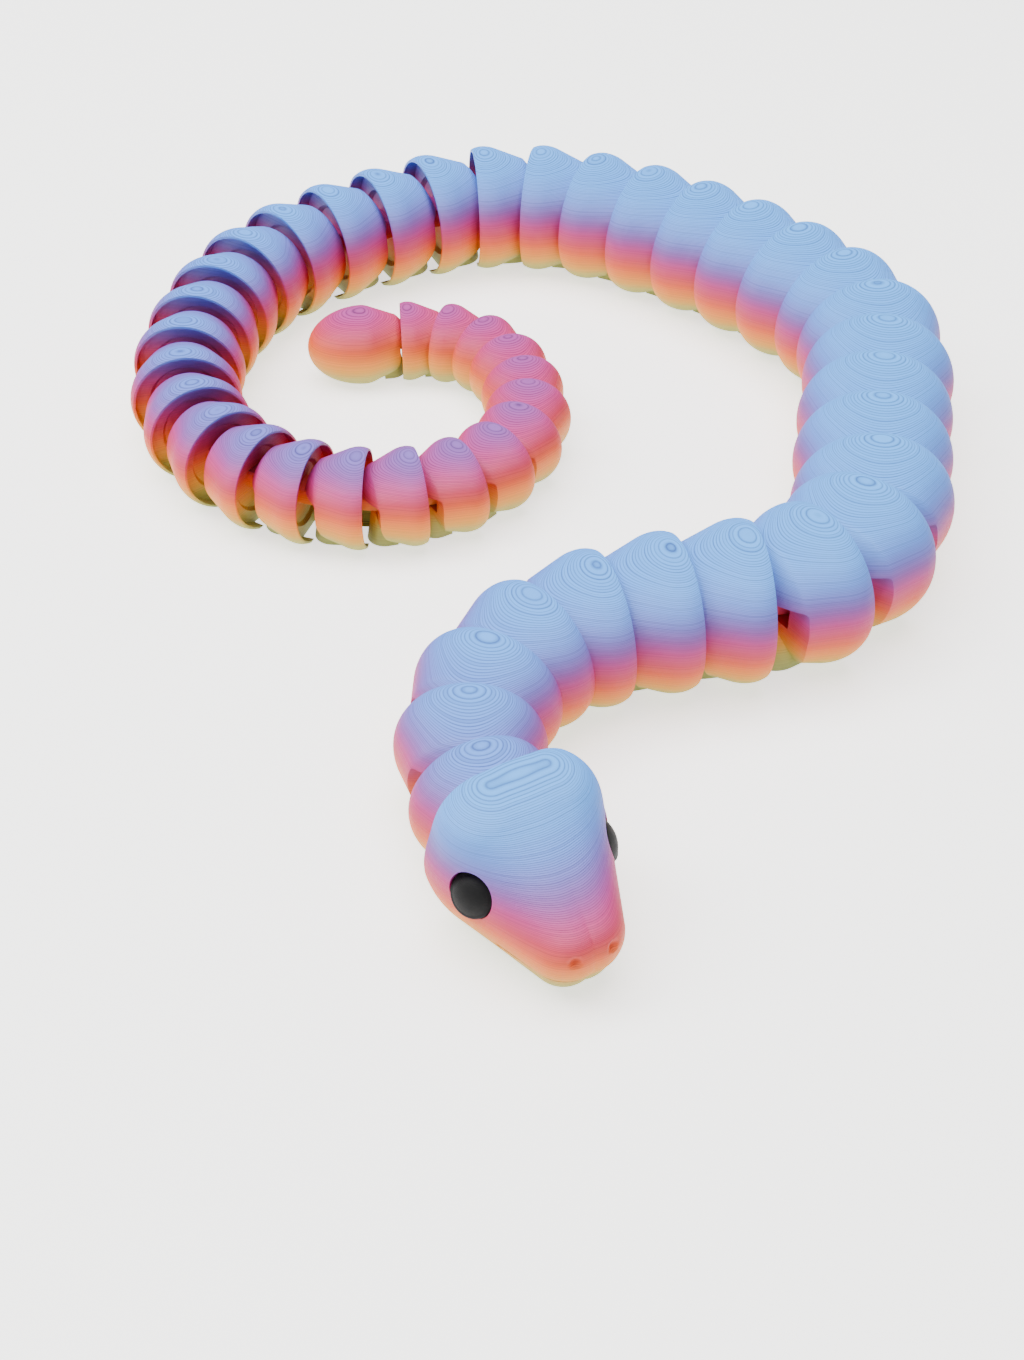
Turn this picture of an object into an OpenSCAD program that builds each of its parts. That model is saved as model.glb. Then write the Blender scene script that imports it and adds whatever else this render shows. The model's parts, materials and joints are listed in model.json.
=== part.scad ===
// Articulated snake: a head, a chain of cup-and-dome segments and a tail tip, each hinged to the
// next by an upright pin that turns in a ring.

/* [Body] */
// Rim radius of the thickest segment
thick_r = 14; // [12:0.5:18]
// Rim radius of the first segment, behind the head
neck_r = 11; // [9.5:0.5:13]
// Rim radius of the tail tip
tail_r = 7.7; // [6.5:0.1:10]
// Which segment is the thickest, counted from the head
thickest = 12; // [6:1:20]
// How much the distance between two hinges grows with the rim radius
pitch_share = 0.75; // [0.74:0.01:0.9]
// Part of the distance between two hinges that every segment has
pitch_base = 2.5; // [2.4:0.1:3.5]

/* [Dome] */
// Height of the dome's axis over the floor, as a share of the rim radius
sit = 0.88; // [0.86:0.01:0.9]
// Half angle of the cone that leads from the nose up to the crown
cone_angle = 22; // [20:1:26]
// Length of the nose in front of its hinge, as a share of the rim radius
nose_share = 0.5; // [0.4:0.01:0.5]
// How far the rim reaches past the widest ring, as a share of the rim radius
lip_share = 0.17; // [0.15:0.01:0.18]

/* [Hinges] */
// Gap between pieces that turn against each other
gap = 0.35; // [0.25:0.05:0.4]
// Radius of a hinge pin, as a share of the rim radius
pin_share = 0.12; // [0.1:0.01:0.14]
// Wall of the ring around a pin, as a share of the rim radius
ring_share = 0.11; // [0.09:0.01:0.12]
// Distance from a rim back to the hinge of the next piece, as a share of that piece's rim radius
lead_share = 0.3; // [0.28:0.01:0.32]
// Inner radius of a cup at its rim, as a share of the rim radius
cup_share = 0.92; // [0.91:0.01:0.93]

/* [Head] */
// Radius of the back of the head
head_r = 13.2; // [12:0.1:14]
// Distance from the middle of the head to the neck hinge
neck_reach = 12; // [11:0.5:14]
// Distance from the middle of the head to the tip of the snout
snout_reach = 15.4; // [13:0.1:18]
// Half width of the snout
snout_half_w = 7.2; // [6:0.1:8.5]
// Diameter of an eye
eye_d = 6.8; // [5.5:0.1:7.5]

/* [Tail] */
// Length of the round end of the tail tip behind its widest ring
tail_round = 10.9; // [9:0.1:14]

/* [Pose] */
// Turn of the first segment against the head, in degrees
neck_bend = -8; // [-10:1:0]
// Turn of each of the first four segments, which make the neck's hook
hook_bend = -23; // [-23:1:-19]
// Turn of each of the tail's last curled segments
curl_bend = 24; // [20:1:24]

/* [Hidden] */
$fn = 64;
SEGMENTS = 46;
TAIL = SEGMENTS + 1;
over = 1;
arc_step = 7;

// Heights of the slot that the ring turns in, and the small shares that shape every piece
slot_low = 0.74;
slot_high = 1.17;
lip_arc = 0.38;
crown_arc = 0.6;
cap_back = 0.2;
cup_depth = 0.59;
cup_straight = 0.52;
cup_ball = 0.85;
jaw_top = 0.24;
jaw_foot = 0.36;
leg_front = -0.2;
leg_slant = 0.3;
arm_root = 0.62;
arm_share = 0.96;
turn_max = 26;

// The snout's round end, the chin under it, the brows and the bridge of the nose
HEAD_FN = 32;
snout_r = 6;
snout_z = 8.2;
chin_r = 4.9;
chin_z = 4.8;
chin_back = 0.4;
brow_r = 8;
brow_out = 4.2;
brow_rise = 2.4;
bridge_r = 5.4;
bridge_at = [-5, 2, 10.6];

// The foot of each eye socket, the way it points, and the shape of the plug in it
eye_at = [0.4, 8.8, 12];
eye_turn = 120;
eye_tilt = 60;
eye_fit = 0.1;
eye_h = 3.6;
eye_curve = 0.72;

// Runs of hinges from the neck to the tail: how many, and how far each turns its piece, in degrees
RUNS = [
    [1, neck_bend], [4, hook_bend], [2, -5], [3, 24], [3, -1], [2, 22], [5, 6], [3, 17],
    [2, 5], [3, 13], [2, 7], [6, 15], [6, 18], [1, 8], [3, curl_bend], [1, 6],
];
BENDS = [for (run = RUNS) for (k = [1:run[0]]) run[1]];

// Rim radius and length between hinges of a piece, counted from the head as 0
function rim(i) =
    i == 0 ? head_r
    : i < thickest ? thick_r - (thick_r - neck_r) * pow((thickest - i) / (thickest - 1), 2)
    : thick_r - (thick_r - tail_r) / 2 * (1 - cos(180 * (i - thickest) / (TAIL - thickest)));
function pitch(i) = i == 0 ? neck_reach : pitch_base + pitch_share * rim(i);

// Direction towards the tail and place of the front hinge of every piece
HEADINGS = [for (i = 0, a = 90; i <= TAIL; a = a + (i < TAIL ? BENDS[i] : 0), i = i + 1) a];
HINGES = [
    for (i = 0, p = [0, 0]; i <= TAIL;
         p = p + pitch(i) * [cos(HEADINGS[i]), sin(HEADINGS[i])], i = i + 1) p
];

function two_digits(i) = str(i < 10 ? "0" : "", i);
function segment_name(i) = str("segment_", two_digits(i));

// Points along an arc, after its first one and up to its last
function arc_points(centre, radius, from, to) =
    let (steps = ceil(abs(to - from) / arc_step))
    [for (k = [1:steps]) let (a = from + (to - from) * k / steps) centre + radius * [cos(a), sin(a)]];

// Half profile of a dome's front, from its nose to its crown: the axis runs up the page, with the
// hinge at 0. A round cap leads into a cone, and the cone into the crown's arc.
function front_points(r, crown) =
    let (
        arc = crown_arc * r,
        arc_start = [r - arc + arc * cos(cone_angle), crown - arc * sin(cone_angle)],
        cap_end = -cap_back * r,
        cap_r = arc_start[0] - (arc_start[1] - cap_end) * tan(cone_angle),
        cap_h = (nose_share - cap_back) * r,
        ball = (cap_r * cap_r + cap_h * cap_h) / (2 * cap_h)
    )
    concat(
        [[0, cap_end - cap_h]],
        arc_points([0, cap_end - cap_h + ball], ball, -90, asin(cap_r / ball) - 90),
        [arc_start],
        arc_points([r - arc, crown], arc, -cone_angle, 0)
    );

// The lip behind the crown, which curves in to the flat rim
function lip_points(r, crown) =
    arc_points([r - lip_arc * r, crown], lip_arc * r, 0, asin(lip_share / lip_arc));

// A body of revolution laid along the snake's length, with its axis at the dome's height
module laid(r) {
    translate([0, 0, sit * r]) rotate([0, 90, 0]) children();
}

module above_floor(r) {
    intersection() {
        children();
        translate([-4 * r, -4 * r, 0]) cube([8 * r, 8 * r, 8 * r]);
    }
}

module dome(r, rim_at) {
    crown = rim_at - lip_share * r;
    above_floor(r) laid(r) rotate_extrude()
        polygon(concat(front_points(r, crown), lip_points(r, crown), [[0, rim_at]]));
}

// Distance from a pin back to the end of the channel that its ring turns in
function slot_back(r) = (pin_share + ring_share) * r + 2 * gap;

// The cone under the slot that holds the foot of the pin
module jaw_cone(r) {
    spread = (jaw_foot - jaw_top) / slot_low * over;
    translate([0, 0, -over])
        cylinder(slot_low * r + over, jaw_foot * r + spread, jaw_top * r);
}

// The opening across the front of a piece, over its jaw and in front of its legs, and the channel
// between the legs, as wide as the arm and its ring need to turn
module slot(r) {
    back = slot_back(r);
    side_at_pin = back / cos(turn_max);
    difference() {
        rotate([90, 0, 0]) translate([0, 0, -2 * r]) linear_extrude(4 * r)
            polygon([
                [-r, -over], [(leg_front + leg_slant) * r, -over], [leg_front * r, slot_low * r],
                [leg_front * r, slot_high * r], [-r, slot_high * r],
            ]);
        jaw_cone(r);
    }
    translate([0, 0, slot_low * r]) linear_extrude((slot_high - slot_low) * r)
        polygon([
            [-r / 2, -side_at_pin - r / 2 * tan(turn_max)], [back, back * tan(turn_max) - side_at_pin],
            [back, side_at_pin - back * tan(turn_max)], [-r / 2, side_at_pin + r / 2 * tan(turn_max)],
        ]);
}

module pin(r) {
    translate([0, 0, slot_low * r - pin_share * r])
        cylinder((slot_high - slot_low + 2 * pin_share) * r, r = pin_share * r);
}

// The hollow in the back of a piece, which the next dome's nose turns in
module cup(r, next_r, length) {
    difference() {
        union() {
            laid(r) translate([0, 0, length - cup_straight * next_r])
                cylinder(2 * r, r = cup_share * r);
            translate([length, 0, sit * next_r]) sphere(cup_ball * next_r);
        }
        translate([length - cup_depth * next_r - 4 * r, -2 * r, -r]) cube([4 * r, 4 * r, 4 * r]);
    }
}

// The arm that reaches back from the cup's floor and rings the next piece's pin
module arm(next_r, length) {
    low = slot_low * next_r + gap;
    high = slot_high * next_r - gap;
    ring = slot_back(next_r) - gap;
    difference() {
        union() {
            translate([length, 0, low]) cylinder(high - low, r = ring);
            translate([length - arm_root * next_r, -arm_share * ring, low])
                cube([arm_root * next_r, 2 * arm_share * ring, high - low]);
        }
        translate([length, 0, low - 1])
            cylinder(high - low + 2, r = pin_share * next_r + gap);
    }
}

// One segment, with its own hinge pin at the origin and the next hinge at its length
module segment(i) {
    r = rim(i);
    length = pitch(i);
    rim_at = length - lead_share * rim(i + 1);
    difference() {
        dome(r, rim_at);
        slot(r);
        cup(r, rim(i + 1), length);
    }
    pin(r);
    arm(rim(i + 1), length);
}

// The last piece: a dome in front and a long round end behind
module tail_piece() {
    r = rim(TAIL);
    crown = (1 - lead_share) * r;
    round_end = [for (p = arc_points([0, 0], 1, 0, 90)) [p[0] * r, crown + p[1] * tail_round]];
    difference() {
        above_floor(r) laid(r) rotate_extrude() polygon(concat(front_points(r, crown), round_end));
        slot(r);
    }
    pin(r);
}

// The head from outside: cheeks drawn out to the snout and to the chin under it, and two brows
module head_shape() {
    skull_at = [neck_reach - lead_share * rim(1) - lip_share * head_r, 0, sit * head_r];
    hull() {
        translate(skull_at) sphere(head_r, $fn = HEAD_FN);
        for (side = [-1, 1]) translate([snout_r - snout_reach, side * (snout_half_w - snout_r), snout_z])
            sphere(snout_r, $fn = HEAD_FN);
    }
    hull() {
        translate(skull_at) sphere(head_r, $fn = HEAD_FN);
        for (side = [-1, 1])
            translate([snout_r + chin_back - snout_reach, side * (snout_half_w - snout_r), chin_z])
                sphere(chin_r, $fn = HEAD_FN);
    }
    for (side = [-1, 1]) hull() {
        translate([skull_at[0] - 1, side * brow_out, 2 * sit * head_r + brow_rise - brow_r])
            sphere(brow_r, $fn = HEAD_FN);
        translate([bridge_at[0], side * bridge_at[1], bridge_at[2]]) sphere(bridge_r, $fn = HEAD_FN);
    }
}

// Where an eye sits, with its axis pointing out of the head
module at_eye(side) {
    translate([eye_at[0], side * eye_at[1], eye_at[2]])
        rotate([0, 0, side * eye_turn]) rotate([0, eye_tilt, 0]) children();
}

module head() {
    rim_at = neck_reach - lead_share * rim(1);
    difference() {
        above_floor(head_r) head_shape();
        translate([rim_at, -2 * head_r, -1]) cube([4 * head_r, 4 * head_r, 4 * head_r]);
        cup(head_r, rim(1), neck_reach);
        for (side = [-1, 1]) at_eye(side) cylinder(head_r, r = eye_d / 2 + eye_fit);
    }
    arm(rim(1), neck_reach);
}

// A black plug with a domed end, which fills its socket
module eye(side) {
    ball = eye_curve * eye_d;
    at_eye(side) intersection() {
        cylinder(head_r, r = eye_d / 2);
        translate([0, 0, eye_h - ball]) sphere(ball);
    }
}

module placed(i) {
    translate([HINGES[i][0], HINGES[i][1], 0]) rotate([0, 0, HEADINGS[i]]) children();
}

color("cornflowerblue") placed(0) head();
color("black") placed(0) eye(-1);  // left_eye
color("black") placed(0) eye(1);  // right_eye
for (i = [1:SEGMENTS])
    color("plum") placed(i) segment(i);
color("orchid") placed(TAIL) tail_piece();  // tail_tip
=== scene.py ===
# %% [markdown]
# # A printed snake that bends
#
# The real toy is printed in one go: a head, a chain of domed links and a tail tip, each locked to the
# next by an upright pin in a ring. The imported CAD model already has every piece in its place, so it
# comes in first and nothing in it is moved. The visible pieces are then made round its hinges.

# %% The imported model
import json
import math

import bmesh
import bpy
import numpy as np
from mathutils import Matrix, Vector

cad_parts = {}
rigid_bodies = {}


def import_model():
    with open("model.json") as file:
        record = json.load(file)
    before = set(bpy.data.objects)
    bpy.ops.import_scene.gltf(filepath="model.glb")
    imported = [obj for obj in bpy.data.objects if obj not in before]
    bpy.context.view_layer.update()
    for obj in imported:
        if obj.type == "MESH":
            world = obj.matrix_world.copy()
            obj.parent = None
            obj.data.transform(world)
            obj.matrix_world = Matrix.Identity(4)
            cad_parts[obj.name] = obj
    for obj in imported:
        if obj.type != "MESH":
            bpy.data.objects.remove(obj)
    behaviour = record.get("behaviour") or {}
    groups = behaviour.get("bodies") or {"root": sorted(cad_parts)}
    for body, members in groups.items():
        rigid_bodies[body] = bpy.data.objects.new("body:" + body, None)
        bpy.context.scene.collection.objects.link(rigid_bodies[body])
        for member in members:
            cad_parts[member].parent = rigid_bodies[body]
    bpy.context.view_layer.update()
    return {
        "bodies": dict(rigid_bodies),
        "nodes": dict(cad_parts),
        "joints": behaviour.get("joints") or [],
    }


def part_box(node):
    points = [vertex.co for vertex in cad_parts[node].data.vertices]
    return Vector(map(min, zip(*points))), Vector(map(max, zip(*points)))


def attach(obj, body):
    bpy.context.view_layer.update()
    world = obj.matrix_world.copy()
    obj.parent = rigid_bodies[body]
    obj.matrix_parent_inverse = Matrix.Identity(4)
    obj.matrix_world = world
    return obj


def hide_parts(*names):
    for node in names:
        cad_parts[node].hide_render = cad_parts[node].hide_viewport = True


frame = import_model()
joints = sorted(frame["joints"], key=lambda joint: joint["name"])
print("bodies", len(frame["bodies"]), "hinges", len(joints))

# %% [markdown]
# ## What every piece is measured by
#
# Each link has a rim radius, a length from its own hinge to the next one, and a direction towards the
# tail. All three can be read from the frame, so the looks follow the CAD model if it changes: the
# hinges are in the joints, and a link's top stands 1.88 rim radii over the floor. Work is in
# millimetres, because a maker thinks of a print in millimetres, and is scaled once, at the end.

# %% Hinges, radii and headings
METRE = 0.001
SIT = 0.88
HEAD_R = 13.2
HEAD_REACH = 12.0
GAP = 0.35

links = [joint["child"] for joint in joints]
hinges = np.array([joint["pos_m"][:2] for joint in joints]) / METRE
radii = np.array([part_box(name)[1].z for name in links]) / METRE / (1 + SIT)


def middle_of(name):
    """Average place of a CAD node's points, seen from above, in millimetres."""
    mesh = frame["nodes"][name].data
    points = np.empty(len(mesh.vertices) * 3)
    mesh.vertices.foreach_get("co", points)
    return points.reshape(-1, 3)[:, :2].mean(axis=0) / METRE


ways = np.diff(np.vstack([hinges, middle_of(links[-1])]), axis=0)
headings = np.arctan2(ways[:, 1], ways[:, 0])
lengths = np.hypot(ways[:, 0], ways[:, 1])
print("rim radii", radii.min().round(2), "to", radii.max().round(2), "mm")

# %% [markdown]
# ## Turning rows of points into closed solids
#
# Every shape here is a grid: rows of points, each row going once round the shape. A function works
# out the whole grid at once, and this cell stitches neighbouring rows with four-sided faces. A row
# that has shrunk to a point closes the end, once its copies are merged.


# %% Grid to mesh
def mesh_from_rows(name, rows):
    """Rows x columns x 3 points in millimetres to a closed mesh; the last column joins the first."""
    count, around = rows.shape[:2]
    start = np.arange(count - 1)[:, None] * around
    here = np.arange(around)[None]
    there = (here + 1) % around
    faces = np.stack(
        [start + here, start + there, start + around + there, start + around + here], axis=-1
    )
    mesh = bpy.data.meshes.new(name)
    mesh.from_pydata(
        (rows.reshape(-1, 3) * METRE).tolist(), [], faces.reshape(-1, 4).tolist()
    )
    work = bmesh.new()
    work.from_mesh(mesh)
    bmesh.ops.remove_doubles(work, verts=work.verts, dist=1e-8)
    bmesh.ops.dissolve_degenerate(work, edges=work.edges, dist=1e-9)
    bmesh.ops.recalc_face_normals(work, faces=work.faces)
    work.to_mesh(mesh)
    work.free()
    piece = bpy.data.objects.new(name, mesh)
    bpy.context.scene.collection.objects.link(piece)
    return piece


def capped(rows):
    """The same rows with each end drawn in to the middle of its first or last row."""
    ends = [np.broadcast_to(row.mean(axis=0), row.shape) for row in (rows[0], rows[-1])]
    return np.concatenate([ends[0][None], rows, ends[1][None]])


# %% [markdown]
# ## Cutting and joining
#
# A link has a slot cut through its nose, a cup cut in its back and an arm grown from the cup. The
# edges where those meet are crisp on the print, so exact solid cuts suit them better than one
# stretched surface. Each cut is a Boolean with the Manifold solver, which is quick and always gives
# a closed result, and the whole stack is applied at once.


# %% Boolean stack
def shaped(blank, steps):
    """Cuts and joins solids in order, leaves one finished piece and removes the tools."""
    for operation, tool in steps:
        step = blank.modifiers.new(tool.name, "BOOLEAN")
        step.operation = operation
        step.object = tool
        step.solver = "MANIFOLD"
    scene = bpy.context.evaluated_depsgraph_get()
    mesh = bpy.data.meshes.new_from_object(blank.evaluated_get(scene))
    blank.modifiers.clear()
    old = blank.data
    blank.data = mesh
    bpy.data.meshes.remove(old)
    for _, tool in steps:
        bpy.data.meshes.remove(tool.data)
    mesh.name = blank.name
    return blank


def soften(piece, degrees=32):
    """Smooth shading, broken only at edges sharper than the angle."""
    piece.data.shade_smooth()
    piece.data.set_sharp_from_angle(angle=math.radians(degrees))
    return piece


# %% [markdown]
# ## The dome that every link starts as
#
# A link is a body of revolution lying on its side and cut flat by the print bed: a round nose, a
# cone, a fuller crown, and a lip that turns in to the rim. The profile is a list of x and radius. To
# get a flat underside without a cut, each ring only turns as far as the floor: the angle at which
# it meets the floor is found from its radius, and the two ends of the ring are joined straight
# across.

# %% Dome profile and rings
CONE = math.radians(22)
NOSE, CAP, CROWN_ARC, LIP_ARC, LIP = 0.5, 0.2, 0.6, 0.38, 0.17
LEAD = 0.3
ROUND = 96


def arc(x, y, radius, start, end, count):
    """Points on a circle about x, y: radius times the sine and cosine of evenly spaced angles."""
    turn = np.linspace(start, end, count)
    return np.stack([x + radius * np.sin(turn), y + radius * np.cos(turn)], axis=-1)


def dome_profile(r, rim_at):
    """x and radius from the nose to the crown: a spherical cap, a cone and an arc that ends level."""
    crown = rim_at - LIP * r
    bend = CROWN_ARC * r
    cone_end = np.array([crown - bend * math.sin(CONE), r - bend * (1 - math.cos(CONE))])
    cap_r = cone_end[1] - (cone_end[0] + CAP * r) * math.tan(CONE)
    cap_h = (NOSE - CAP) * r
    ball = (cap_r**2 + cap_h**2) / (2 * cap_h)
    spread = math.asin(cap_r / ball)
    cap = arc(ball - NOSE * r, 0, ball, -math.pi / 2, spread - math.pi / 2, 14)
    return np.vstack(
        [
            np.stack([cap[:, 0], np.abs(cap[:, 1])], axis=-1),
            np.linspace(cap[-1], cone_end, 8)[1:-1],
            arc(crown, r - bend, bend, -CONE, 0, 10),
        ]
    )


def lip_profile(r, rim_at):
    """x and radius of the lip, a tighter arc that turns in from the crown to the rim."""
    crown = rim_at - LIP * r
    return arc(crown, r * (1 - LIP_ARC), LIP_ARC * r, 0, math.asin(LIP / LIP_ARC), 9)[1:]


def laid_rings(profile, r, around=ROUND):
    """Rings about the level axis at height SIT r, each stopping where it meets the floor."""
    x, radius = profile[:, :1], profile[:, 1:]
    reach = np.arccos(np.clip(-SIT * r / np.maximum(radius, 1e-6), -1, 1))
    turn = reach * np.linspace(-1, 1, around)[None]
    z = SIT * r + radius * np.cos(turn)
    return np.stack([x + 0 * turn, radius * np.sin(turn), np.maximum(z, 0)], axis=-1)


def dome(name, r, rim_at):
    profile = np.vstack([dome_profile(r, rim_at), lip_profile(r, rim_at)])
    return mesh_from_rows(name, capped_rim(laid_rings(profile, r), r, rim_at))


def capped_rim(rings, r, rim_at):
    """Closes the rim with a flat disc."""
    disc = np.broadcast_to(np.array([rim_at, 0, SIT * r]), rings[:1].shape)
    return np.concatenate([rings, disc])


# %% [markdown]
# ## The slot, the jaw and the pin
#
# The ring of the piece in front turns in a channel between two legs, and ahead of the legs the nose
# is open right across. What is left over the opening is the beak, and under it a low round jaw; the
# pin stands between them. The opening is a side view drawn as a polygon and pulled out sideways,
# and the channel is a plan drawn as a polygon, with room for the arm to turn either way.

# %% Slot, jaw and pin
SLOT_LOW, SLOT_HIGH = 0.74, 1.17
PIN, RING = 0.12, 0.11
JAW_TOP, JAW_FOOT = 0.24, 0.36
LEG_FRONT, LEG_SLANT = -0.2, 0.3
TURN = math.radians(26)
CORNER = 0.6


def slot_back(r):
    return (PIN + RING) * r + 2 * GAP


def opening_tool(r):
    """A side view in x and z: the legs' front edge leans back to the floor, with a round corner on top."""
    front, low, high = LEG_FRONT * r, SLOT_LOW * r, SLOT_HIGH * r
    corner = arc(front - CORNER, high - CORNER, CORNER, math.pi / 2, 0, 6)
    lean = np.linspace(1, 0, 7)
    leg = np.column_stack([front + LEG_SLANT * r * lean**1.6, low * (1 - lean)])
    side = np.vstack([[-r, -1], [leg[0, 0] + 0.1, -1], leg, corner, [-r, high]])
    rows = np.array([[[x, y, z] for x, z in side] for y in (-2 * r, 2 * r)])
    return mesh_from_rows("opening", capped(rows))


def channel_tool(r):
    """A plan in x and y whose sides lean outwards to the front, as wide as the turning arm needs."""
    back = slot_back(r)
    edge = back / math.cos(TURN)
    front_w, back_w = edge + r / 2 * math.tan(TURN), edge - back * math.tan(TURN)
    plan = np.array([[-r / 2, front_w], [back, back_w], [back, -back_w], [-r / 2, -front_w]])
    rows = np.array([np.column_stack([plan, np.full(4, z)]) for z in (SLOT_LOW * r, SLOT_HIGH * r)])
    return mesh_from_rows("channel", capped(rows))


def stack(outline, levels):
    """Level outlines at rising heights: outline gives x and y for an inset, levels give both."""
    rows = [np.column_stack([outline(inset), np.full(len(outline(inset)), z)]) for z, inset in levels]
    return capped(np.array(rows))


def rounded_levels(low, high, edge, steps=5, foot=True):
    """Heights and insets of a slab whose upper and lower edges are quarter rounds."""
    turn = np.linspace(0, math.pi / 2, steps)
    top = [(high - edge + edge * math.sin(a), edge * (1 - math.cos(a))) for a in turn]
    bottom = [(low + high - z, inset) for z, inset in reversed(top)]
    return (bottom if foot else [(low, 0.0)]) + top


def jaw_tool(r):
    """Outline: a half circle in front and straight sides behind, wider at the foot."""
    low, edge = SLOT_LOW * r, 0.07 * r
    slope = (JAW_FOOT - JAW_TOP) * r / low
    behind = (LEG_FRONT + LEG_SLANT + 0.1) * r

    def outline(inset):
        front_r = JAW_TOP * r - inset
        turn = np.linspace(math.pi / 2, 3 * math.pi / 2, 25)
        front = np.column_stack([front_r * np.cos(turn), front_r * np.sin(turn)])
        return np.vstack([[behind, front_r], front, [behind, -front_r]])

    levels = [(z, inset - slope * (low - z)) for z, inset in rounded_levels(0, low, edge, foot=False)]
    return mesh_from_rows("jaw", stack(outline, levels))


def post(name, x, radius, low, high, around=32):
    """An upright cylinder on the link's middle line."""
    turn = np.linspace(0, 2 * math.pi, around, endpoint=False)
    ring = np.column_stack([x + radius * np.cos(turn), radius * np.sin(turn)])
    rows = np.array([np.column_stack([ring, np.full(around, z)]) for z in (low, high)])
    return mesh_from_rows(name, capped(rows))


# %% [markdown]
# ## The cup and the arm
#
# The cup is another body of revolution: a ball-shaped floor for the next nose, and a straight wall
# up to a thin rim. The arm is a stack of outlines again: a ring round the next pin, and a bar that
# grows from the cup's floor.

# %% Cup and arm
CUP_R, CUP_BALL, CUP_DEPTH, CUP_STRAIGHT = 0.92, 0.85, 0.59, 0.52
ARM_ROOT, ARM_W = 0.62, 0.96


def cup_tool(r, next_r, length, rim_at):
    """Rows from the cup's floor back past the rim."""
    ball = CUP_BALL * next_r
    start, step = length - CUP_DEPTH * next_r, length - CUP_STRAIGHT * next_r
    x = np.linspace(start, step, 5)
    floor_z, centre = SIT * next_r, SIT * r
    inner = np.column_stack([x, np.sqrt(ball**2 - (x - length) ** 2), np.full(5, floor_z)])
    wall = [[step, CUP_R * r, centre], [rim_at + r, CUP_R * r, centre], [rim_at + r, 0, centre]]
    profile = np.vstack([[start, 0, floor_z], inner, wall])
    turn = np.linspace(0, 2 * math.pi, ROUND, endpoint=False)
    z = profile[:, 2:] + profile[:, 1:2] * np.cos(turn)
    rows = np.stack([profile[:, :1] + 0 * turn, profile[:, 1:2] * np.sin(turn), z], axis=-1)
    return mesh_from_rows("cup", rows)


def arm_tool(next_r, length):
    """Outline: the ring's rear half, then straight sides to the wall; the edges are rounded."""
    low, high = SLOT_LOW * next_r + GAP, SLOT_HIGH * next_r - GAP
    ring = slot_back(next_r) - GAP
    root, half = length - ARM_ROOT * next_r, ARM_W * ring

    def outline(inset):
        turn = np.linspace(math.pi / 2, -math.pi / 2, 25)
        end = np.column_stack([length + (ring - inset) * np.cos(turn), (ring - inset) * np.sin(turn)])
        return np.vstack([[root, half - inset], end, [root, inset - half]])

    return mesh_from_rows("arm", stack(outline, rounded_levels(low, high, 0.16 * (high - low))))


def back_steps(r, next_r, length, rim_at):
    """The cuts and joins that every piece with a cup has behind it."""
    low, high = SLOT_LOW * next_r, SLOT_HIGH * next_r
    return [
        ("DIFFERENCE", cup_tool(r, next_r, length, rim_at)),
        ("UNION", arm_tool(next_r, length)),
        ("DIFFERENCE", post("ring_hole", length, PIN * next_r + GAP, low, high)),
    ]


# %% [markdown]
# ## The filament
#
# The whole snake was printed together from one spool that changes colour, so the filament's colour
# depends on height alone: sage at the bed, then yellow, orange, rose, mauve and a light blue on top.
# Every layer is a rounded bead, 0.2 mm high, which shows as fine level lines on the sides and as wide
# rings where the surface is nearly level. Both come from one bump: a bead profile on the sides, and
# steps on the tops. The colour also holds painted shade: it is darkened in the joints between the
# beads, more on the tops, as shade in the grooves.


# %% Shader sums
def linear(r, g, b):
    """Screen colour from 0 to 255 to the linear colour that a shader works in."""
    c = np.array([r, g, b]) / 255
    low = c <= 0.04045
    return (*np.where(low, c / 12.92, ((c + 0.055) / 1.055) ** 2.4).tolist(), 1.0)


class Value:
    """A socket that can be added, subtracted, multiplied, divided and compared."""

    def __init__(self, paint, socket):
        self.paint, self.socket = paint, socket

    def math(self, operation, *others, swap=False):
        terms = [self, *others]
        if swap:
            terms.reverse()
        return self.paint.node("ShaderNodeMath", {"operation": operation}, dict(enumerate(terms)))[0]

    def __add__(self, other):
        return self.math("ADD", other)

    def __mul__(self, other):
        return self.math("MULTIPLY", other)

    def __sub__(self, other):
        return self.math("SUBTRACT", other)

    def __rsub__(self, other):
        return self.math("SUBTRACT", other, swap=True)

    def __truediv__(self, other):
        return self.math("DIVIDE", other)

    def __gt__(self, other):
        return self.math("GREATER_THAN", other)

    def __abs__(self):
        return self.math("ABSOLUTE")

    def __pow__(self, other):
        return self.math("POWER", other)

    __radd__, __rmul__ = __add__, __mul__

    def part(self):
        """What is left after the whole number is taken away."""
        return self.math("FRACT")

    def clamped(self):
        return self.math("MAXIMUM", 0.0).math("MINIMUM", 1.0)


class Paint:
    """A material whose nodes are made by one method."""

    def __init__(self, name):
        self.material = bpy.data.materials.new(name)
        self.material.use_nodes = True
        self.tree = self.material.node_tree
        self.tree.nodes.clear()

    def node(self, kind, settings=None, sockets=None):
        made = self.tree.nodes.new(kind)
        for key, value in (settings or {}).items():
            if key == "stops":
                ramp = made.color_ramp
                while len(ramp.elements) < len(value):
                    ramp.elements.new(1.0)
                for element, (position, colour) in zip(ramp.elements, value):
                    element.position, element.color = position, colour
            else:
                setattr(made, key, value)
        for key, value in (sockets or {}).items():
            if isinstance(value, Value):
                self.tree.links.new(value.socket, made.inputs[key])
            else:
                made.inputs[key].default_value = value
        return Outputs(self, made)

    def finish(self, **sockets):
        """The surface shader, whose sockets take numbers, colours or values."""
        shader = self.node(
            "ShaderNodeBsdfPrincipled", sockets={k.replace("_", " "): v for k, v in sockets.items()}
        )
        self.node("ShaderNodeOutputMaterial", sockets={"Surface": shader[0]})
        return self.material


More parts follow.
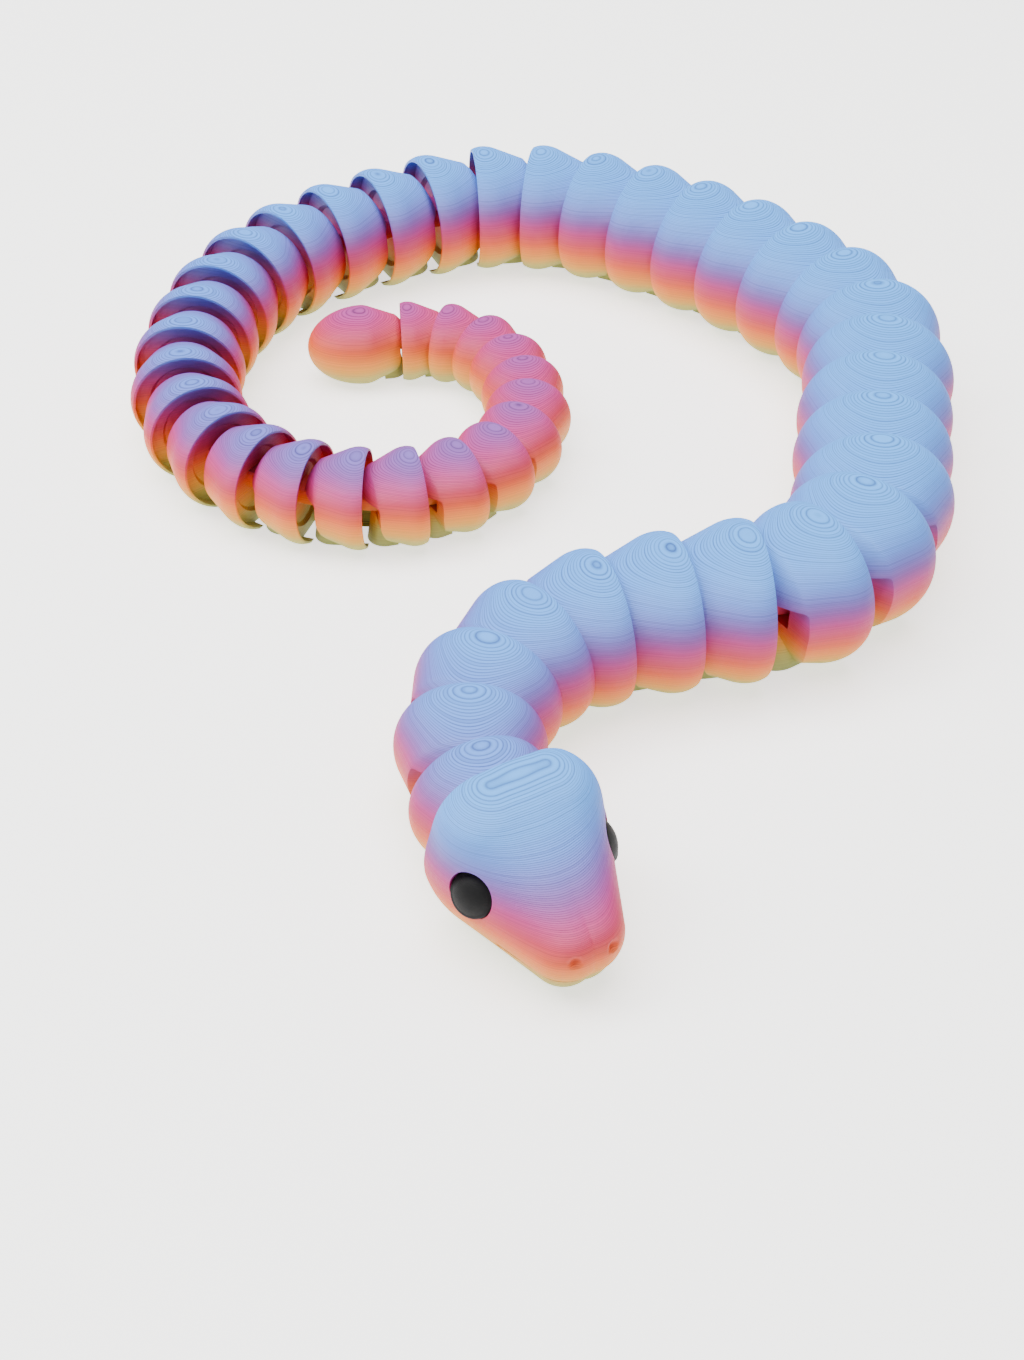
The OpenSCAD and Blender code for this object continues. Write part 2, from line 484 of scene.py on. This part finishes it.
class Outputs:
    """A node's outputs, each as a value."""

    def __init__(self, paint, made):
        self.paint, self.made = paint, made

    def __getitem__(self, key):
        return Value(self.paint, self.made.outputs[key])


# %% [markdown]
# The bead height is 1 at the middle of a layer and falls to 0 at its joints. On a level top the
# same layer is a flat step instead, so the two are mixed by how far the surface faces up. The same
# bead darkens the colour in the joints as painted shade, more where the surface faces up. No two
# layers are quite alike, so a noise along the height darkens some of them a little more.

# %% Filament material
LAYER = 0.2
BEAD_H, STEP_H, GRIT_H = 0.06, 0.2, 0.012
TOP_MM = 28.0
HEIGHTS = [
    (0.0, (168, 180, 104)),
    (3.0, (190, 178, 82)),
    (5.0, (230, 160, 36)),
    (7.2, (242, 130, 20)),
    (9.2, (232, 86, 34)),
    (11.2, (208, 48, 76)),
    (13.4, (192, 48, 124)),
    (15.6, (144, 78, 162)),
    (17.6, (112, 108, 198)),
    (19.6, (94, 138, 228)),
    (22.0, (84, 158, 246)),
    (26.4, (80, 168, 253)),
]


def filament():
    paint = Paint("rainbow_filament")
    place = paint.node("ShaderNodeTexCoord")["Object"]
    z = paint.node("ShaderNodeSeparateXYZ", sockets={"Vector": place})["Z"] * (1 / METRE)
    up = abs(
        paint.node(
            "ShaderNodeSeparateXYZ",
            sockets={"Vector": paint.node("ShaderNodeNewGeometry")["Normal"]},
        )["Z"]
    )
    wander = paint.node("ShaderNodeTexNoise", sockets={"Vector": place, "Scale": 90.0, "Detail": 2.0})["Fac"]
    grit = paint.node("ShaderNodeTexNoise", sockets={"Vector": place, "Scale": 1500.0, "Detail": 2.0})["Fac"]
    layer = (z / LAYER).part()
    bead = 1 - abs(layer * 2.0 - 1) ** 3.0
    steps = 1 - layer
    height = bead * BEAD_H * (1 - up) + steps * (STEP_H * up) + grit * GRIT_H
    uneven = paint.node(
        "ShaderNodeTexNoise", {"noise_dimensions": "1D"}, {"W": z / LAYER, "Scale": 0.8}
    )["Fac"]
    stops = [(at / TOP_MM, linear(*colour)) for at, colour in HEIGHTS]
    tone = paint.node("ShaderNodeValToRGB", {"stops": stops}, {"Fac": (z + (wander - 0.5) * 0.7) / TOP_MM})
    # Painted shade in the joints between beads, stronger on up-facing tops, plus the real uneven tone of
    # each layer; the colour is multiplied towards a dark mauve by this mix.
    painted_joint_shade_and_layer_tone = ((1 - bead) * (0.25 + 0.45 * up) + (uneven - 0.45) * 0.7).clamped()
    colour = paint.node(
        "ShaderNodeMix",
        {"data_type": "RGBA", "blend_type": "MULTIPLY"},
        {"Factor": painted_joint_shade_and_layer_tone, 6: tone["Color"], 7: linear(120, 104, 140)},
    )[2]
    bump = paint.node(
        "ShaderNodeBump", sockets={"Strength": 1.0, "Distance": METRE, "Height": height}
    )["Normal"]
    return paint.finish(
        Base_Color=colour, Roughness=0.5 + (grit - 0.5) * 0.25, Normal=bump, Specular_IOR_Level=0.35
    )


FILAMENT = filament()
print("filament nodes", len(FILAMENT.node_tree.nodes))


def black_filament():
    paint = Paint("black_filament")
    place = paint.node("ShaderNodeTexCoord")["Object"]
    z = paint.node("ShaderNodeSeparateXYZ", sockets={"Vector": place})["Z"] * (1 / METRE)
    bead = 1 - abs((z / LAYER).part() * 2.0 - 1) ** 3.0
    grit = paint.node("ShaderNodeTexNoise", sockets={"Vector": place, "Scale": 1200.0})["Fac"]
    bump = paint.node(
        "ShaderNodeBump",
        sockets={"Strength": 0.6, "Distance": METRE, "Height": bead * 0.02 + grit * 0.02},
    )["Normal"]
    return paint.finish(
        Base_Color=linear(9, 9, 10),
        Roughness=0.6 + (grit - 0.5) * 0.2,
        Normal=bump,
        Specular_IOR_Level=0.2,
    )


BLACK = black_filament()


# %% [markdown]
# ## The links
#
# All the links are one recipe at slightly different sizes. Each is cut at the origin, lying along x,
# and its finished mesh is then turned and shifted to its own hinge, so that the object itself stays
# unmoved at the origin.

# %% Make the links


def settle(piece, k):
    """Turns and shifts the mesh to hinge k, gives the piece its body and material, and hides the CAD node it
    stands for.
    """
    points = np.empty(len(piece.data.vertices) * 3)
    piece.data.vertices.foreach_get("co", points)
    points = points.reshape(-1, 3)
    cos, sin = math.cos(headings[k]), math.sin(headings[k])
    turned = points @ np.array([[cos, sin, 0], [-sin, cos, 0], [0, 0, 1]])
    turned[:, :2] += hinges[k] * METRE
    piece.data.vertices.foreach_set("co", turned.ravel())
    return dress(piece, links[k], links[k])


def dress(piece, body, node, material=None):
    piece.data.materials.clear()
    piece.data.materials.append(material or FILAMENT)
    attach(piece, body)
    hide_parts(node)
    return piece


def front_steps(r):
    """The cuts and joins of every nose: slot, jaw and pin."""
    return [
        ("DIFFERENCE", opening_tool(r)),
        ("DIFFERENCE", channel_tool(r)),
        ("UNION", jaw_tool(r)),
        ("UNION", post("pin", 0, PIN * r, (SLOT_LOW - PIN) * r, (SLOT_HIGH + PIN) * r)),
    ]


def link(k):
    r, next_r, length = radii[k], radii[k + 1], lengths[k]
    rim_at = length - LEAD * next_r
    blank = dome(f"{links[k]}_shell", r, rim_at)
    shaped(blank, front_steps(r) + back_steps(r, next_r, length, rim_at))
    return settle(soften(blank), k)


made = [link(k) for k in range(len(links) - 1)]
print("links", len(made), "faces in the thickest", max(len(piece.data.polygons) for piece in made))

# %% [markdown]
# ## The tail tip
#
# The tail is a link with no cup: behind the crown its profile runs on as half of a long ellipse.

# %% Make the tail
TAIL_ROUND = 10.9


def tail():
    r = radii[-1]
    rim_at = (1 - LEAD + LIP) * r
    front = dome_profile(r, rim_at)
    turn = np.linspace(0, math.pi / 2, 24)[1:]
    behind = np.column_stack([(1 - LEAD) * r + TAIL_ROUND * np.sin(turn), r * np.cos(turn)])
    blank = mesh_from_rows("tail_tip_shell", laid_rings(np.vstack([front, behind]), r))
    shaped(blank, front_steps(r))
    return settle(soften(blank), len(links) - 1)


print("tail faces", len(tail().data.polygons))

# %% [markdown]
# ## The head
#
# The head is a soft blend of round forms: a skull, a snout drawn out of it, a chin tucked under the
# snout, and one flat-topped brow across it, with two nostrils and a mouth line cut in. Sculpting
# would do, but a field of distances gives the same soft joins by formula. Seen from a point inside,
# the surface is met once in every direction, so it is a function of two angles: along each ray the
# crossing is found by halving the interval again and again.

# %% Head field
SNOUT_REACH, SNOUT_R, SNOUT_Z = 15.4, 6.0, 8.2
CHIN_R, CHIN_Z, CHIN_BACK = 4.9, 4.8, 0.4
SNOUT_SIDE = 1.2
BROW_R, BROW_OUT, BROW_RISE = 8.0, 4.2, 2.4
BRIDGE_R, BRIDGE_X, BRIDGE_Z, BRIDGE_OUT = 5.4, -5.0, 10.6, 2.0
NOSTRIL_R, NOSTRIL_AT = 0.8, (0.2 - SNOUT_REACH, 3.0, 9.6)
BROW_SOFT, SNOUT_SOFT, NOSTRIL_SOFT = 1.2, 0.4, 0.5
MOUTH_Z, MOUTH_RISE, MOUTH_HALF_H, MOUTH_DEPTH, MOUTH_END = 4.6, 0.12, 0.25, 0.45, -4.0


def hull_of_two(p, a, ra, b, rb):
    """Distance to two balls and the cone that wraps them both."""
    a, b = np.array(a, float), np.array(b, float)
    along, drop = b - a, ra - rb
    span = along @ along
    flat = span - drop**2
    near = p - a
    y = near @ along
    z = y - span
    x2 = ((near * span - along * y[..., None]) ** 2).sum(axis=-1)
    y2, z2 = y**2 * span, z**2 * span
    side = np.sign(drop) * drop**2 * x2
    cone = (np.sqrt(x2 * flat / span) + y * drop) / span - ra
    cone = np.where(np.sign(y) * flat * y2 < side, np.sqrt(x2 + y2) / span - ra, cone)
    return np.where(np.sign(z) * flat * z2 > side, np.sqrt(x2 + z2) / span - rb, cone)


def blend(a, b, width):
    """The smaller of two distances, rounded off where they are nearly equal."""
    mix = np.clip(0.5 + 0.5 * (b - a) / width, 0, 1)
    return b + (a - b) * mix - width * mix * (1 - mix)


def head_field(p):
    """Distance outside the head, in millimetres. The head is the same on both sides."""
    p = np.stack([p[..., 0], np.abs(p[..., 1]), p[..., 2]], axis=-1)
    skull = [HEAD_REACH - LEAD * radii[0] - LIP * HEAD_R, 0, SIT * HEAD_R]
    snout_at = [SNOUT_R - SNOUT_REACH, SNOUT_SIDE, SNOUT_Z]
    chin_at = [SNOUT_R + CHIN_BACK - SNOUT_REACH, SNOUT_SIDE, CHIN_Z]
    snout = hull_of_two(p, skull, HEAD_R, snout_at, SNOUT_R)
    chin = hull_of_two(p, skull, HEAD_R, chin_at, CHIN_R)
    beside = np.stack([p[..., 0], np.maximum(p[..., 1] - BROW_OUT, 0), p[..., 2]], axis=-1)
    brow_at = [skull[0] - 1, 0, 2 * SIT * HEAD_R + BROW_RISE - BROW_R]
    bridge_at = [BRIDGE_X, BRIDGE_OUT - BROW_OUT, BRIDGE_Z]
    brow = hull_of_two(beside, brow_at, BROW_R, bridge_at, BRIDGE_R)
    along_mouth = MOUTH_Z + MOUTH_RISE * (p[..., 0] + SNOUT_REACH)
    crease = np.abs(p[..., 2] - along_mouth) - MOUTH_HALF_H
    mouth = np.maximum(crease, np.maximum(-snout - MOUTH_DEPTH, p[..., 0] - MOUTH_END))
    field = blend(blend(np.minimum(snout, chin), brow, BROW_SOFT), snout, SNOUT_SOFT)
    nostril = np.linalg.norm(p - np.array(NOSTRIL_AT), axis=-1) - NOSTRIL_R
    return np.maximum(-blend(-field, nostril, NOSTRIL_SOFT), -mouth)


def head_surface(rows=180, columns=256):
    """Rays from a point inside the head; halving finds where each leaves it."""
    inside = np.array([1.5, 0, 9.0])
    lift = np.linspace(0, math.pi, rows)[:, None]
    turn = np.linspace(0, 2 * math.pi, columns, endpoint=False)[None]
    ray = np.stack(
        [np.cos(lift) + 0 * turn, np.sin(lift) * np.sin(turn), np.sin(lift) * np.cos(turn)], axis=-1
    )
    near, far = np.zeros(ray.shape[:2]), np.full(ray.shape[:2], 40.0)
    for _ in range(34):
        half = (near + far) / 2
        out = head_field(inside + ray * half[..., None]) > 0
        near, far = np.where(out, near, half), np.where(out, half, far)
    return inside + ray * near[..., None]


def block(name, low, high):
    """A box between two corners."""
    (x0, y0, z0), (x1, y1, z1) = low, high
    ring = np.array([[x0, y0], [x1, y0], [x1, y1], [x0, y1]])
    rows = np.array([np.column_stack([ring, np.full(4, z)]) for z in (z0, z1)])
    return mesh_from_rows(name, capped(rows))


# %% [markdown]
# The eyes are black plugs pressed into round sockets that look outwards and a little up and
# forwards. One function turns a shape from the eye's own axis to its place on either side.

# %% Eyes and head
EYE_D, EYE_FIT, EYE_H = 6.8, 0.1, 3.6
EYE_AT, EYE_TURN, EYE_TILT = (0.4, 8.8, 12.0), math.radians(120), math.radians(60)


def at_eye(points, side):
    """Tilts the eye's own z axis from upright, turns it outwards and moves it to the socket."""
    ct, st = math.cos(EYE_TILT), math.sin(EYE_TILT)
    cz, sz = math.cos(side * EYE_TURN), math.sin(side * EYE_TURN)
    tilt = np.array([[ct, 0, st], [0, 1, 0], [-st, 0, ct]])
    turn = np.array([[cz, -sz, 0], [sz, cz, 0], [0, 0, 1]])
    return points @ (turn @ tilt).T + np.array([EYE_AT[0], side * EYE_AT[1], EYE_AT[2]])


def eye_rings(profile, around=64):
    """Radius and height turned about the eye's axis."""
    turn = np.linspace(0, 2 * math.pi, around, endpoint=False)
    return np.stack(
        [
            profile[:, :1] * np.cos(turn),
            profile[:, :1] * np.sin(turn),
            profile[:, 1:] + 0 * turn,
        ],
        axis=-1,
    )


def facing_tail(points):
    """From the head's own x axis to the frame, in which the head lies along y."""
    return np.stack([-points[..., 1], points[..., 0], points[..., 2]], axis=-1)


def head():
    rim_at = HEAD_REACH - LEAD * radii[0]
    blank = mesh_from_rows("head_shell", head_surface())
    socket = np.array([[0, 0], [EYE_D / 2 + EYE_FIT, 0], [EYE_D / 2 + EYE_FIT, 9], [0, 9]], float)
    sockets = [
        ("DIFFERENCE", mesh_from_rows("socket", at_eye(eye_rings(socket), side))) for side in (-1, 1)
    ]
    keep = block("keep", (-30, -30, 0), (rim_at, 30, 40))
    steps = [("INTERSECT", keep), *back_steps(HEAD_R, radii[0], HEAD_REACH, rim_at), *sockets]
    shaped(blank, steps)
    points = np.empty(len(blank.data.vertices) * 3)
    blank.data.vertices.foreach_get("co", points)
    blank.data.vertices.foreach_set("co", facing_tail(points.reshape(-1, 3)).ravel())
    return dress(soften(blank), "head", "head")


def eye(side, node):
    """A plug with a short straight wall, a rounded shoulder and a low dome."""
    wall, dome_h, edge = EYE_D / 2, 0.72 * EYE_D, 0.45
    ball = dome_h
    start = math.asin((wall - edge) / ball)
    turn = np.linspace(start, 0, 14)
    top = np.column_stack([ball * np.sin(turn), EYE_H - ball + ball * np.cos(turn)])
    shoulder = np.linspace(0, 1, 6)[:, None]
    round_off = np.column_stack(
        [
            wall - edge * (1 - np.cos(shoulder[:, 0] * math.pi / 2)),
            top[0, 1] - edge + edge * np.sin(shoulder[:, 0] * math.pi / 2),
        ]
    )
    profile = np.vstack([[0, 0], [wall, 0], round_off, top[1:]])
    rows = facing_tail(at_eye(eye_rings(profile), side))
    piece = mesh_from_rows(f"{node}_plug", rows)
    return dress(soften(piece), "head", node, BLACK)


print("head faces", len(head().data.polygons))
for side, node in ((-1, "left_eye"), (1, "right_eye")):
    eye(side, node)

# %% [markdown]
# ## Floor, light and camera
#
# A bright, nearly shadowless table top: a white floor that glows a little, a dim even sky, a broad
# light overhead, and a smaller one from behind on the left that gives the domes their shape.


# %% Stage
def floor():
    turn = np.linspace(0, 2 * math.pi, 64, endpoint=False)
    rings = np.array([0.0, 400, 3000])[:, None]
    rows = np.stack(
        [rings * np.cos(turn), rings * np.sin(turn) + 130, np.zeros((3, 64)) - 0.02], axis=-1
    )
    paint = Paint("floor")
    piece = mesh_from_rows("floor", rows)
    paper = paint.finish(
        Base_Color=(0.86, 0.86, 0.85, 1),
        Roughness=0.6,
        Emission_Color=(1, 0.99, 0.97, 1),
        Emission_Strength=1.6,
    )
    piece.data.materials.append(paper)
    return piece


def area_light(name, place, target, size, power, colour):
    light = bpy.data.lights.new(name, "AREA")
    light.shape, light.size, light.energy, light.color = "DISK", size, power, colour
    lamp = bpy.data.objects.new(name, light)
    bpy.context.scene.collection.objects.link(lamp)
    aim(lamp, place, target)


def aim(thing, place, target):
    """Puts a thing in place with its own -Z looking at the target."""
    thing.location = place
    thing.rotation_euler = (Vector(target) - Vector(place)).to_track_quat("-Z", "Y").to_euler()


floor()
area_light("ceiling", (0.0, 0.2, 1.0), (0.05, 0.15, 0.0), 1.2, 24.0, (1.0, 1.0, 1.0))
area_light("window", (-0.5, 0.45, 0.7), (0.05, 0.15, 0.0), 0.5, 7.0, (1.0, 0.98, 0.96))

world = bpy.data.worlds.new("sky")
world.use_nodes = True
world.node_tree.nodes["Background"].inputs["Color"].default_value = (0.95, 0.97, 1.0, 1)
world.node_tree.nodes["Background"].inputs["Strength"].default_value = 0.45
bpy.context.scene.world = world

# %% [markdown]
# The camera stands over the near side of the snake, behind its head, and looks down at about 42
# degrees.

# %% Camera
LONG_SIDE, FOCAL = 1360, 1800
EYE = np.array([-85.0, -143.0, 196.0])
LOOK_TURN, LOOK_DOWN = math.radians(29.5), math.radians(41.9)

camera = bpy.data.objects.new("camera", bpy.data.cameras.new("camera"))
bpy.context.scene.collection.objects.link(camera)
camera.data.sensor_width = 36.0
camera.data.lens = 36.0 * FOCAL / LONG_SIDE
camera.data.clip_start, camera.data.clip_end = 0.01, 20
direction = np.array(
    [
        math.sin(LOOK_TURN) * math.cos(LOOK_DOWN),
        math.cos(LOOK_TURN) * math.cos(LOOK_DOWN),
        -math.sin(LOOK_DOWN),
    ]
)
aim(camera, (EYE * METRE).tolist(), (EYE * METRE + direction).tolist())
bpy.context.scene.camera = camera
